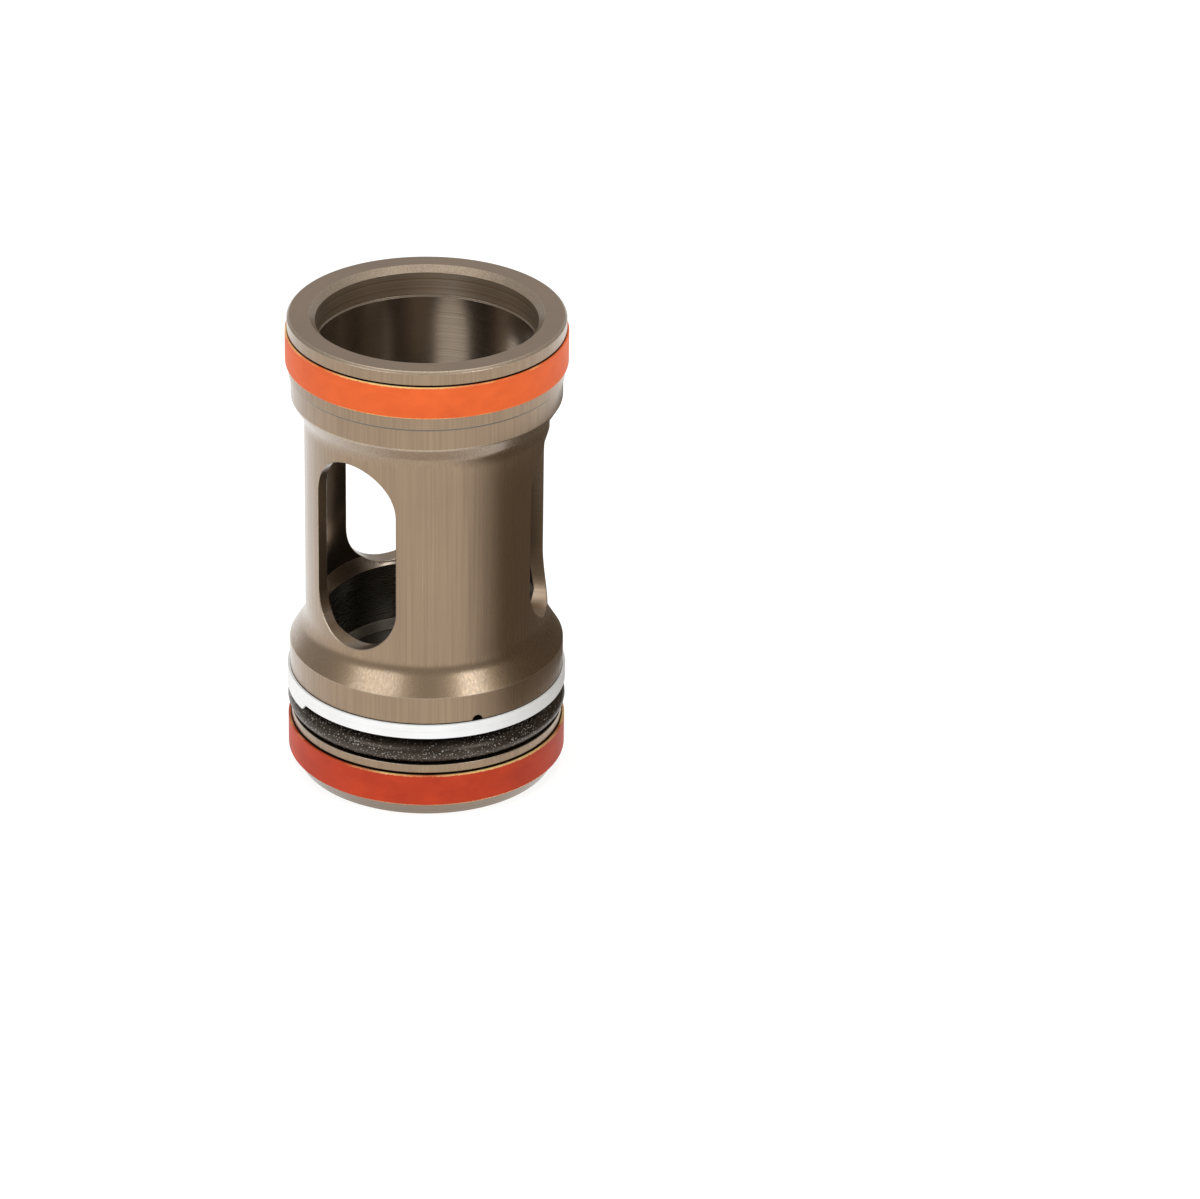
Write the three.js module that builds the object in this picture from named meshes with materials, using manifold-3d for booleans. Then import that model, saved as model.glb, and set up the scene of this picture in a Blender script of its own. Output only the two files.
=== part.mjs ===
// Cartridge valve sleeve with its guide rings and its seal.
// Units are millimetres. +Z runs from the seal end up to the plain rim, and the origin is the centre
// of the seal end's face. One of the three windows faces -Y.

import * as THREE from 'three';
import { mergeVertices } from 'three/addons/utils/BufferGeometryUtils.js';
import Module from 'manifold-3d';

const wasm = await Module();
wasm.setup();

// ---------------------------------------------------------------- driving dimensions

const ROUND_STEPS = 72;             // facets around the axis
const SLEEVE_HEIGHT = 89.0;
const COLLAR_RADIUS = 24.95;        // the land between the seal and the lower taper
const WAIST_RADIUS = 22.05;
const TAPER_SLOPE = 31.7;           // degrees from the axis, where a collar tapers into the waist
const TAPER_FILLET = 6.0;           // radius that blends a taper into the waist
const TAPER_FILLET_STEPS = 5;

// seal end, from the bottom face upwards
const LEAD_IN_RADIUS = 23.4;        // bottom face, before the lead-in bevel
const LEAD_IN_TOP = 2.4;
const LOWER_LAND_RADIUS = 24.75;
const LOWER_RING_FLOOR = 2.75;      // lower side of the lower wear ring's groove
const SEAL_GROOVE_FLOOR = 10.8;
const SEAL_GROOVE_TOP = 19.3;
const SEAL_GROOVE_RADIUS = 20.3;
const LOWER_TAPER_START = 24.5;

// plain end
const UPPER_TAPER_END = 73.5;
const UPPER_COLLAR_RADIUS = 24.4;
const UPPER_STEP = 77.8;            // the collar grows by a fine step here
const UPPER_STEP_RADIUS = 24.75;
const UPPER_RING_FLOOR = 80.1;
const RIM_RADIUS = 25.0;
const RIM_CHAMFER = 0.4;

// wear rings
const WEAR_GROOVE_WIDTH = 6.4;
const WEAR_GROOVE_RADIUS = 22.8;
const WEAR_RING_INNER = 22.88;
const WEAR_RING_OUTER = 25.35;
const WEAR_RING_SIDE_PLAY = 0.1;
const WEAR_RING_EDGE = 0.2;         // broken edge of a ring
const WEAR_RING_GAP = 0.9;          // opening between a ring's cut ends
const WEAR_RING_CUT_ANGLE = 15;     // slant of the cut away from the axis, in degrees
const UPPER_RING_CUT_AT = 118;      // degrees around the axis, from +X towards +Y
const LOWER_RING_CUT_AT = 74;

// seal
const O_RING_HALF_WIDTH = 2.5;      // its section is an oval, because the backup ring presses on it
const O_RING_HALF_HEIGHT = 2.1;
const O_RING_CENTRE_RADIUS = 22.85;
const O_RING_CENTRE_HEIGHT = 13.0;
const O_RING_SECTION_STEPS = 14;
const BACKUP_INNER = 20.4;
const BACKUP_OUTER = 25.4;
const BACKUP_FLOOR = 15.17;
const BACKUP_TOP = 19.2;
const BACKUP_LAYERS = 3;            // most layers of strip above one another
const BACKUP_PLAY = 0.05;           // gap between two layers
const BACKUP_END_AT = -113;         // where the strip's lower end lies, in degrees
const BACKUP_WINDING = 815;         // degrees from the strip's lower end to its upper end
const BACKUP_CLIMB_FROM = 100;      // degrees of winding before the strip first climbs
const BACKUP_CLIMB_OVER = 20;       // degrees of winding over which it climbs by one layer

// bore, from the plain rim downwards
const MOUTH_CHAMFER = 1.1;
const MOUTH_RADIUS = 19.95;
const MOUTH_LAND_END = 83.5;
const BORE_RADIUS = 19.7;
const LEDGE_TOP = 32.4;
const LEDGE_END = 30.0;
const SMALL_BORE_RADIUS = 18.35;
const FLOOR_CORNER = 1.3;
const FLOOR_HEIGHT = 17.4;
const FLOOR_STEP_RADIUS = 10.0;
const FLOOR_STEP_DEPTH = 0.25;
const PORT_RADIUS = 7.2;
const PORT_EDGE = 0.5;
const RECESS_RADIUS = 15.0;
const RECESS_DEPTH = 7.5;
const RECESS_CHAMFER = 1.0;

// windows and bleed hole
const WINDOW_COUNT = 3;
const FIRST_WINDOW_AT = -90;        // degrees
const WINDOW_WIDTH = 17.75;
const WINDOW_BOTTOM = 30.7;
const WINDOW_TOP = 67.3;
const WINDOW_END_STEPS = 16;
const WINDOW_CUT_FROM = 12;         // the cutter's reach, measured out from the axis
const WINDOW_CUT_TO = 28;
const BLEED_RADIUS = 1.0;
const BLEED_AT = -30;               // degrees, midway between two windows
const BLEED_HEIGHT = 19.3;
const BLEED_STEPS = 16;
const BLEED_CUT_FROM = 16.5;        // the drill's reach, measured out from the axis
const BLEED_CUT_TO = 27;

// ---------------------------------------------------------------- materials

function finish(colour, roughness, metalness) {
  return new THREE.MeshStandardMaterial({ color: colour, roughness, metalness });
}

const hardAnodised = finish(0x8d7b69, 0.42, 0.75);
const orangeFabricResin = finish(0xdc6a35, 0.55, 0.0);
const redFabricResin = finish(0xb9431f, 0.55, 0.0);
const blackRubber = finish(0x1d1c1b, 0.5, 0.0);
const whiteFluoropolymer = finish(0xece8e2, 0.6, 0.0);

// ---------------------------------------------------------------- helpers

const MERGE_DISTANCE = 1e-5;
const radians = THREE.MathUtils.degToRad;

function point(radius, height) {
  return new THREE.Vector2(radius, height);
}

// A LatheGeometry turns around Y. This one turns around Z, and its profile closes on itself.
function turned(profile) {
  const geometry = new THREE.LatheGeometry([...profile, profile[0].clone()], ROUND_STEPS);
  return geometry.rotateX(Math.PI / 2);
}

function toManifold(geometry) {
  const bare = geometry.clone();
  bare.deleteAttribute('normal');
  bare.deleteAttribute('uv');
  const merged = mergeVertices(bare, MERGE_DISTANCE);
  return new wasm.Manifold(new wasm.Mesh({
    numProp: 3,
    vertProperties: new Float32Array(merged.attributes.position.array),
    triVerts: new Uint32Array(merged.index.array),
  }));
}

function toGeometry(solid) {
  const mesh = solid.getMesh();
  const geometry = new THREE.BufferGeometry();
  geometry.setAttribute('position', new THREE.BufferAttribute(new Float32Array(mesh.vertProperties), 3));
  geometry.setIndex(new THREE.BufferAttribute(new Uint32Array(mesh.triVerts), 1));
  geometry.computeVertexNormals();
  return geometry;
}

function subpart(name, geometry, material) {
  const mesh = new THREE.Mesh(geometry, material);
  mesh.name = name;
  return mesh;
}

// Points of the fillet between a straight taper and the waist, from the taper's side.
// direction is +1 where the taper leads up into the waist and -1 where it leads down into it.
function taperFillet(collarRadius, taperStart, direction) {
  const slope = radians(TAPER_SLOPE);
  const run = (collarRadius - WAIST_RADIUS) / Math.tan(slope);
  const tangent = TAPER_FILLET * Math.tan(slope / 2);
  const cornerHeight = taperStart + direction * run;
  const centreHeight = cornerHeight + direction * tangent;
  const centreRadius = WAIST_RADIUS + TAPER_FILLET;
  const points = [];
  for (let step = 0; step <= TAPER_FILLET_STEPS; step += 1) {
    const angle = slope * (1 - step / TAPER_FILLET_STEPS);
    const radius = centreRadius - TAPER_FILLET * Math.cos(angle);
    const height = centreHeight - direction * TAPER_FILLET * Math.sin(angle);
    points.push(point(radius, height));
  }
  return points;
}

// ---------------------------------------------------------------- sleeve

function sleeveProfile() {
  const lowerRingTop = LOWER_RING_FLOOR + WEAR_GROOVE_WIDTH;
  const upperRingTop = UPPER_RING_FLOOR + WEAR_GROOVE_WIDTH;
  const stepFloor = FLOOR_HEIGHT - FLOOR_STEP_DEPTH;
  const outside = [
    point(LEAD_IN_RADIUS, 0),
    point(LOWER_LAND_RADIUS, LEAD_IN_TOP),
    point(LOWER_LAND_RADIUS, LOWER_RING_FLOOR),
    point(WEAR_GROOVE_RADIUS, LOWER_RING_FLOOR),
    point(WEAR_GROOVE_RADIUS, lowerRingTop),
    point(LOWER_LAND_RADIUS, lowerRingTop),
    point(LOWER_LAND_RADIUS, SEAL_GROOVE_FLOOR),
    point(SEAL_GROOVE_RADIUS, SEAL_GROOVE_FLOOR),
    point(SEAL_GROOVE_RADIUS, SEAL_GROOVE_TOP),
    point(COLLAR_RADIUS, SEAL_GROOVE_TOP),
    point(COLLAR_RADIUS, LOWER_TAPER_START),
    ...taperFillet(COLLAR_RADIUS, LOWER_TAPER_START, 1),
    ...taperFillet(UPPER_COLLAR_RADIUS, UPPER_TAPER_END, -1).reverse(),
    point(UPPER_COLLAR_RADIUS, UPPER_TAPER_END),
    point(UPPER_COLLAR_RADIUS, UPPER_STEP),
    point(UPPER_STEP_RADIUS, UPPER_STEP),
    point(UPPER_STEP_RADIUS, UPPER_RING_FLOOR),
    point(WEAR_GROOVE_RADIUS, UPPER_RING_FLOOR),
    point(WEAR_GROOVE_RADIUS, upperRingTop),
    point(RIM_RADIUS, upperRingTop),
    point(RIM_RADIUS, SLEEVE_HEIGHT - RIM_CHAMFER),
    point(RIM_RADIUS - RIM_CHAMFER, SLEEVE_HEIGHT),
  ];
  const inside = [
    point(MOUTH_RADIUS + MOUTH_CHAMFER, SLEEVE_HEIGHT),
    point(MOUTH_RADIUS, SLEEVE_HEIGHT - MOUTH_CHAMFER),
    point(MOUTH_RADIUS, MOUTH_LAND_END),
    point(BORE_RADIUS, MOUTH_LAND_END - (MOUTH_RADIUS - BORE_RADIUS)),
    point(BORE_RADIUS, LEDGE_TOP),
    point(SMALL_BORE_RADIUS, LEDGE_END),
    point(SMALL_BORE_RADIUS, FLOOR_HEIGHT + FLOOR_CORNER),
    point(SMALL_BORE_RADIUS - FLOOR_CORNER, FLOOR_HEIGHT),
    point(FLOOR_STEP_RADIUS, FLOOR_HEIGHT),
    point(FLOOR_STEP_RADIUS - FLOOR_STEP_DEPTH, stepFloor),
    point(PORT_RADIUS + PORT_EDGE, stepFloor),
    point(PORT_RADIUS, stepFloor - PORT_EDGE),
    point(PORT_RADIUS, RECESS_DEPTH),
    point(RECESS_RADIUS, RECESS_DEPTH),
    point(RECESS_RADIUS, RECESS_CHAMFER),
    point(RECESS_RADIUS + RECESS_CHAMFER, 0),
  ];
  return [...outside, ...inside];
}

// A long window with full-round ends, as a block that runs out along -Y through the wall.
function windowCutter() {
  const halfWidth = WINDOW_WIDTH / 2;
  const outline = new THREE.Shape();
  outline.moveTo(halfWidth, WINDOW_BOTTOM + halfWidth);
  outline.lineTo(halfWidth, WINDOW_TOP - halfWidth);
  outline.absarc(0, WINDOW_TOP - halfWidth, halfWidth, 0, Math.PI, false);
  outline.lineTo(-halfWidth, WINDOW_BOTTOM + halfWidth);
  outline.absarc(0, WINDOW_BOTTOM + halfWidth, halfWidth, Math.PI, 2 * Math.PI, false);
  const block = new THREE.ExtrudeGeometry(outline, {
    depth: WINDOW_CUT_TO - WINDOW_CUT_FROM,
    bevelEnabled: false,
    curveSegments: WINDOW_END_STEPS,
  });
  block.rotateX(Math.PI / 2);
  return block.translate(0, -WINDOW_CUT_FROM, 0);
}

function bleedCutter() {
  const length = BLEED_CUT_TO - BLEED_CUT_FROM;
  const drill = new THREE.CylinderGeometry(BLEED_RADIUS, BLEED_RADIUS, length, BLEED_STEPS);
  drill.rotateZ(Math.PI / 2);
  drill.translate((BLEED_CUT_FROM + BLEED_CUT_TO) / 2, 0, BLEED_HEIGHT);
  return drill.rotateZ(radians(BLEED_AT));
}

function sleeve() {
  let solid = toManifold(turned(sleeveProfile()));
  const firstTurn = FIRST_WINDOW_AT + 90;
  for (let index = 0; index < WINDOW_COUNT; index += 1) {
    const turn = firstTurn + (index * 360) / WINDOW_COUNT;
    solid = solid.subtract(toManifold(windowCutter().rotateZ(radians(turn))));
  }
  solid = solid.subtract(toManifold(bleedCutter()));
  return toGeometry(solid);
}

// ---------------------------------------------------------------- wear rings

// A guide ring: a band with broken edges, cut through once on a slant so that it can be sprung
// over the collar into its groove.
function wearRing(grooveFloor, cutAt) {
  const low = grooveFloor + WEAR_RING_SIDE_PLAY;
  const high = grooveFloor + WEAR_GROOVE_WIDTH - WEAR_RING_SIDE_PLAY;
  const edge = WEAR_RING_EDGE;
  const band = turned([
    point(WEAR_RING_INNER, low),
    point(WEAR_RING_OUTER - edge, low),
    point(WEAR_RING_OUTER, low + edge),
    point(WEAR_RING_OUTER, high - edge),
    point(WEAR_RING_OUTER - edge, high),
    point(WEAR_RING_INNER, high),
  ]);
  const thickness = WEAR_RING_OUTER - WEAR_RING_INNER;
  const saw = new THREE.BoxGeometry(2 * thickness, WEAR_RING_GAP, 2 * WEAR_GROOVE_WIDTH);
  saw.rotateX(radians(WEAR_RING_CUT_ANGLE));
  saw.translate((WEAR_RING_OUTER + WEAR_RING_INNER) / 2, 0, (low + high) / 2);
  saw.rotateZ(radians(cutAt));
  return toGeometry(toManifold(band).subtract(toManifold(saw)));
}

// ---------------------------------------------------------------- seal

function oRing() {
  const section = [];
  for (let step = 0; step < O_RING_SECTION_STEPS; step += 1) {
    const angle = (2 * Math.PI * step) / O_RING_SECTION_STEPS;
    const radius = O_RING_CENTRE_RADIUS + O_RING_HALF_WIDTH * Math.cos(angle);
    section.push(point(radius, O_RING_CENTRE_HEIGHT + O_RING_HALF_HEIGHT * Math.sin(angle)));
  }
  return turned(section);
}

// A spiral backup ring: a flat strip wound two and a quarter times like a key ring, clockwise as
// seen from the plain rim. It runs level and climbs by one layer once in each turn, so three layers
// lie above one another between the ends, and two elsewhere.
function backupRing() {
  const gaps = (BACKUP_LAYERS - 1) * BACKUP_PLAY;
  const thickness = (BACKUP_TOP - BACKUP_FLOOR - gaps) / BACKUP_LAYERS;
  const climb = thickness + BACKUP_PLAY;
  const lastStep = Math.round((BACKUP_WINDING * ROUND_STEPS) / 360);
  const corners = [];
  for (let step = 0; step <= lastStep; step += 1) {
    const wound = (360 * step) / ROUND_STEPS;
    const angle = radians(BACKUP_END_AT - wound);
    let layer = 0;
    for (let turn = 0; turn < BACKUP_LAYERS - 1; turn += 1) {
      const climbed = (wound - BACKUP_CLIMB_FROM - 360 * turn) / BACKUP_CLIMB_OVER;
      layer += THREE.MathUtils.clamp(climbed, 0, 1);
    }
    const low = BACKUP_FLOOR + climb * layer;
    const high = low + thickness;
    const inner = [BACKUP_INNER * Math.cos(angle), BACKUP_INNER * Math.sin(angle)];
    const outer = [BACKUP_OUTER * Math.cos(angle), BACKUP_OUTER * Math.sin(angle)];
    corners.push(...inner, low, ...outer, low, ...outer, high, ...inner, high);
  }
  const faces = [0, 2, 1, 0, 3, 2];
  for (let step = 0; step < lastStep; step += 1) {
    for (let side = 0; side < 4; side += 1) {
      const near = 4 * step + side;
      const nearNext = 4 * step + ((side + 1) % 4);
      const far = near + 4;
      const farNext = nearNext + 4;
      faces.push(near, farNext, far, near, nearNext, farNext);
    }
  }
  const last = 4 * lastStep;
  faces.push(last, last + 1, last + 2, last, last + 2, last + 3);
  const geometry = new THREE.BufferGeometry();
  geometry.setAttribute('position', new THREE.Float32BufferAttribute(corners, 3));
  geometry.setIndex(faces);
  geometry.computeVertexNormals();
  return geometry;
}

// ---------------------------------------------------------------- assembly

const valve = new THREE.Group();
valve.add(subpart('valve_sleeve', sleeve(), hardAnodised));
valve.add(subpart('upper_wear_ring', wearRing(UPPER_RING_FLOOR, UPPER_RING_CUT_AT), orangeFabricResin));
valve.add(subpart('lower_wear_ring', wearRing(LOWER_RING_FLOOR, LOWER_RING_CUT_AT), redFabricResin));
valve.add(subpart('o_ring', oRing(), blackRubber));
valve.add(subpart('backup_ring', backupRing(), whiteFluoropolymer));

export default valve;
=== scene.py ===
# %% [markdown]
# # A windowed valve sleeve with its guide rings and seals
#
# This lesson dresses a finished mechanical model. The engineering model says where every part is and
# how it moves. Blender gives each part its fine surface: turned metal, wound strip, rubber and
# fabric-filled resin. Nothing here changes a size that the engineering model sets.

import math

import bmesh
import bpy
import numpy as np
from mathutils import Matrix, Vector


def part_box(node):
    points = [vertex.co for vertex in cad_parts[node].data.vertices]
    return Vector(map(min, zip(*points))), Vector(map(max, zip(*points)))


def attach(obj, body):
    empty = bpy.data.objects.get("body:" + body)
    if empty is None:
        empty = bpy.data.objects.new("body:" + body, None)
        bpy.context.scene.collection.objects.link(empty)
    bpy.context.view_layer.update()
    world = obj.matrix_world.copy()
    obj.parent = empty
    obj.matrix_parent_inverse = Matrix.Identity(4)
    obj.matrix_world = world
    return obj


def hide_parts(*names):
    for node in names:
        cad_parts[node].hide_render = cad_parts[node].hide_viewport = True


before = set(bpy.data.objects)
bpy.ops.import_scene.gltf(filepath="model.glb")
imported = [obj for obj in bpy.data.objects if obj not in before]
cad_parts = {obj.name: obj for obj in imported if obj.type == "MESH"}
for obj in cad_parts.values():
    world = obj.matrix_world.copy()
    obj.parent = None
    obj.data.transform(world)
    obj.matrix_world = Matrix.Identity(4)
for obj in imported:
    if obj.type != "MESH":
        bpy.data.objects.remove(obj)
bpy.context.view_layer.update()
print("nodes:", sorted(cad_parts))

# %% [markdown]
# ## Sizes
#
# The outer sizes come from the frame. The rest are the sleeve's own dimensions in millimetres, which
# the engineering model also uses. One factor turns them into metres at the moment a mesh is made.

# %% Driving sizes
MM = 0.001
sleeve_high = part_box("valve_sleeve")[1]
HEIGHT = sleeve_high.z / MM
RIM_RADIUS = sleeve_high.x / MM

COLLAR_RADIUS = 24.95
UPPER_COLLAR_RADIUS = 24.4
LAND_RADIUS = 24.75
WAIST_RADIUS = 22.05
TAPER_SLOPE = math.radians(31.7)
TAPER_FILLET = 6.0
LOWER_TAPER_START = 24.5
UPPER_TAPER_END = 73.5
UPPER_STEP = 77.8

WEAR_GROOVE_WIDTH = 6.4
WEAR_GROOVE_RADIUS = 22.8
LOWER_RING_FLOOR = 2.75
UPPER_RING_FLOOR = 80.1
SEAL_GROOVE_FLOOR = 10.8
SEAL_GROOVE_TOP = 19.3
SEAL_GROOVE_RADIUS = 20.3

BORE_RADIUS = 19.7
SMALL_BORE_RADIUS = 18.35
LEDGE_TOP = 32.4
LEDGE_END = 30.0
FLOOR_HEIGHT = 17.4
PORT_RADIUS = 7.2
RECESS_RADIUS = 15.0
RECESS_DEPTH = 7.5

WINDOW_COUNT = 3
WINDOW_HALF_WIDTH = 8.875
WINDOW_BOTTOM = 30.7
WINDOW_TOP = 67.3
print("sleeve height %.2f mm, rim radius %.2f mm" % (HEIGHT, RIM_RADIUS))

# %% [markdown]
# ## Material building blocks
#
# Every finish starts from a Principled shader whose fixed numbers sit on its own sockets. The pattern
# of each finish is built from Object coordinates, so it stays on the part when the part moves. A few
# small helpers keep the node trees short enough to read.

# %% Node helpers
# A near-black painted shade for faces that lie in shade under a land or collar, and the width of its fade in
# mm.
PAINTED_SHADE, SHADE_FADE = (0.012, 0.007, 0.004), 0.06


def add_node(tree, kind, **settings):
    made = tree.nodes.new(kind)
    for name, value in settings.items():
        setattr(made, name, value)
    return made


def start_finish(name, **fixed):
    material = bpy.data.materials.new(name)
    material.use_nodes = True
    shader = material.node_tree.nodes["Principled BSDF"]
    for socket, value in fixed.items():
        shader.inputs[socket.replace("_", " ")].default_value = value
    return material, material.node_tree, shader


def stretched_noise(tree, stretch, detail=3.0, roughness=0.6):
    """Noise over Object coordinates, with its own number of cells per metre along X, Y and Z."""
    place = add_node(tree, "ShaderNodeTexCoord")
    scale = add_node(tree, "ShaderNodeVectorMath", operation="MULTIPLY")
    scale.inputs[1].default_value = stretch
    noise = add_node(tree, "ShaderNodeTexNoise")
    noise.inputs["Scale"].default_value = 1.0
    noise.inputs["Detail"].default_value = detail
    noise.inputs["Roughness"].default_value = roughness
    tree.links.new(place.outputs["Object"], scale.inputs[0])
    tree.links.new(scale.outputs[0], noise.inputs["Vector"])
    return noise.outputs["Fac"]


def height_noise(tree, cells_per_metre, detail=2.0):
    """Noise that changes only along the axis: the marks of a turning or boring cut."""
    place = add_node(tree, "ShaderNodeTexCoord")
    split = add_node(tree, "ShaderNodeSeparateXYZ")
    noise = add_node(tree, "ShaderNodeTexNoise", noise_dimensions="1D")
    noise.inputs["Scale"].default_value = cells_per_metre
    noise.inputs["Detail"].default_value = detail
    tree.links.new(place.outputs["Object"], split.inputs[0])
    tree.links.new(split.outputs["Z"], noise.inputs["W"])
    return noise.outputs["Fac"]


def axis_distance(tree):
    place = add_node(tree, "ShaderNodeTexCoord")
    flat = add_node(tree, "ShaderNodeVectorMath", operation="MULTIPLY")
    flat.inputs[1].default_value = (1, 1, 0)
    reach = add_node(tree, "ShaderNodeVectorMath", operation="LENGTH")
    tree.links.new(place.outputs["Object"], flat.inputs[0])
    tree.links.new(flat.outputs[0], reach.inputs[0])
    return reach.outputs["Value"]


def ring_noise(tree, cells_per_metre, detail=2.0):
    """Noise that changes only with the distance from the axis: the marks of a facing cut."""
    noise = add_node(tree, "ShaderNodeTexNoise", noise_dimensions="1D")
    noise.inputs["Scale"].default_value = cells_per_metre
    noise.inputs["Detail"].default_value = detail
    tree.links.new(axis_distance(tree), noise.inputs["W"])
    return noise.outputs["Fac"]


def spread(tree, value, low, high, to_low=0.0, to_high=1.0):
    """Maps value from low..high to to_low..to_high, and clamps it."""
    ramp = add_node(tree, "ShaderNodeMapRange")
    for socket, number in zip(("From Min", "From Max", "To Min", "To Max"), (low, high, to_low, to_high)):
        ramp.inputs[socket].default_value = number
    tree.links.new(value, ramp.inputs["Value"])
    return ramp.outputs["Result"]


def outside_of(tree, radius_mm):
    """0 inside the radius, 1 outside it, with a short fade."""
    return spread(tree, axis_distance(tree), radius_mm * MM, (radius_mm + SHADE_FADE) * MM)


def mix_colours(tree, share, first, second):
    """first and second are colours or sockets."""
    mix = add_node(tree, "ShaderNodeMix", data_type="RGBA")
    tree.links.new(share, mix.inputs["Factor"])
    for colour, socket in ((first, mix.inputs[6]), (second, mix.inputs[7])):
        if isinstance(colour, bpy.types.NodeSocket):
            tree.links.new(colour, socket)
        else:
            socket.default_value = (*colour, 1)
    return mix.outputs[2]


def bump(tree, height, depth, strength=1.0, under=None):
    """depth is how far in metres the surface rises where height is 1."""
    made = add_node(tree, "ShaderNodeBump")
    made.inputs["Strength"].default_value = strength
    made.inputs["Distance"].default_value = depth
    tree.links.new(height, made.inputs["Height"])
    if under is not None:
        tree.links.new(under, made.inputs["Normal"])
    return made.outputs["Normal"]


# %% [markdown]
# ## The anodised metal
#
# The sleeve is turned aluminium under a thick brown-grey hard anodised skin. The skin keeps the tool
# marks of the metal below, so the outside shows faint upright streaks, the bore shows rings, and the
# end faces show circles. One function makes them all, and each surface only says how its marks run.
# Turning leaves grooves around the axis, which stretch a highlight along it, so the shader is
# anisotropic around Z.

# %% Anodised finishes
ANODISED = (0.290, 0.190, 0.106)
ANODISED_DARK = (0.236, 0.152, 0.082)
# Darker copies of the anodised colour for the bore and the window walls: painted shade for the inside of the
# sleeve.
ANODISED_SHADED = (0.225, 0.165, 0.110)
ANODISED_BORE_SHADE = (0.190, 0.138, 0.090)
# Lighter colour for broken edges, chamfers and the mouth land: partly the paler metal that shows at worn
# edges, partly a painted highlight where these faces catch the light.
ANODISED_WEAR_AND_GLINT = (0.46, 0.375, 0.285)
# Near-black browns of the deep finish: painted shade for the grooves, the small bore, the floor, the bleed
# hole and the run under the upper step.
HOLLOW_SHADE, HOLLOW_SHADE_DARK = (0.105, 0.088, 0.064), (0.080, 0.068, 0.050)
# Darker browns for the lead-in at the foot: painted shade near the floor.
FOOT_SHADE, FOOT_SHADE_DARK = (0.205, 0.135, 0.078), (0.165, 0.107, 0.060)
# Green-gold for the port's thread: partly the oil on it, partly a painted sheen of the glints it throws back.
THREAD_OIL_AND_SHEEN, THREAD_DARK = (0.30, 0.29, 0.10), (0.10, 0.11, 0.045)


def anodised(name, light, dark, roughness, marks, depth, anisotropy=0.0):
    """marks is one of upright, around, faced or rough."""
    material, tree, shader = start_finish(
        name, Metallic=0.92, Anisotropic=anisotropy, Coat_Weight=0.8, Coat_IOR=1.7, Coat_Roughness=0.24)
    patterns = {
        "upright": lambda: stretched_noise(tree, (2600, 2600, 30), detail=3, roughness=0.45),
        "around": lambda: height_noise(tree, 2600, detail=4),
        "faced": lambda: ring_noise(tree, 5200),
        "rough": lambda: stretched_noise(tree, (5200, 5200, 5200), detail=4),
    }
    lines = patterns[marks]()
    clouds = stretched_noise(tree, (70, 70, 45), detail=3)
    grain = stretched_noise(tree, (9000, 9000, 9000), detail=2)
    streaked = mix_colours(tree, spread(tree, lines, 0.3, 0.7), dark, light)
    clouded = add_node(tree, "ShaderNodeMix", data_type="RGBA", blend_type="MULTIPLY")
    clouded.inputs["Factor"].default_value = 1.0
    tone = spread(tree, clouds, 0.3, 0.7, 0.93, 1.06)
    tree.links.new(streaked, clouded.inputs[6])
    tree.links.new(tone, clouded.inputs[7])
    tree.links.new(clouded.outputs[2], shader.inputs["Base Color"])
    tree.links.new(spread(tree, lines, 0.3, 0.7, roughness + 0.05, roughness - 0.05),
                   shader.inputs["Roughness"])
    fine = bump(tree, grain, 0.0000012, 0.25)
    tree.links.new(bump(tree, lines, depth, 0.42, fine), shader.inputs["Normal"])
    if anisotropy:
        around = add_node(tree, "ShaderNodeTangent", direction_type="RADIAL", axis="Z")
        tree.links.new(around.outputs[0], shader.inputs["Tangent"])
    return material


SLEEVE_FINISHES = {
    "turned": anodised("anodised_turned", ANODISED, ANODISED_DARK, 0.3, "upright", 0.0000012, 0.4),
    # deep is a painted shade: hollows coloured dark for the shade that falls in them.
    "deep": anodised("anodised_deep", HOLLOW_SHADE, HOLLOW_SHADE_DARK, 0.26, "around", 0.0000009, 0.2),
    # bored and milled use the darker copies, a painted shade inside the bore and the windows.
    "bored": anodised("anodised_bored", ANODISED_SHADED, ANODISED_BORE_SHADE, 0.2, "around", 0.0000009, 0.4),
    # landed, edge and coarse use the lighter colour: worn paler metal and a painted highlight.
    "landed": anodised("anodised_landed", ANODISED_WEAR_AND_GLINT, ANODISED, 0.46, "around", 0.000006, 0.2),
    "faced": anodised("anodised_faced", ANODISED, ANODISED_DARK, 0.34, "faced", 0.0000012),
    "milled": anodised("anodised_milled", ANODISED, ANODISED_SHADED, 0.36, "around", 0.000002),
    "edge": anodised("anodised_edge", ANODISED_WEAR_AND_GLINT, ANODISED, 0.36, "rough", 0.000006),
    # lead_in is coloured darker, a painted shade at the foot.
    "lead_in": anodised("anodised_lead_in", FOOT_SHADE, FOOT_SHADE_DARK, 0.4, "around", 0.000002),
    "coarse": anodised("anodised_coarse", ANODISED_WEAR_AND_GLINT, ANODISED_DARK, 0.42, "rough", 0.00002),
    # threaded carries the oil's tint and a painted sheen.
    "threaded": anodised("anodised_threaded", THREAD_OIL_AND_SHEEN, THREAD_DARK, 0.26, "rough", 0.000006),
}
FINISH_ORDER = list(SLEEVE_FINISHES)
print("sleeve finishes:", FINISH_ORDER)

# %% [markdown]
# ## Turned outlines
#
# A lathe part is one closed outline spun around the axis. The outline is written as its corners, each
# with the radius of its broken edge and the finish of the run that follows it. A helper replaces each
# corner by a small arc, because no real edge is perfectly sharp and the arc is what catches the light.

# %% Outline helper
ARC_STEPS = 4
LONGEST_RUN = 3.0


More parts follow.
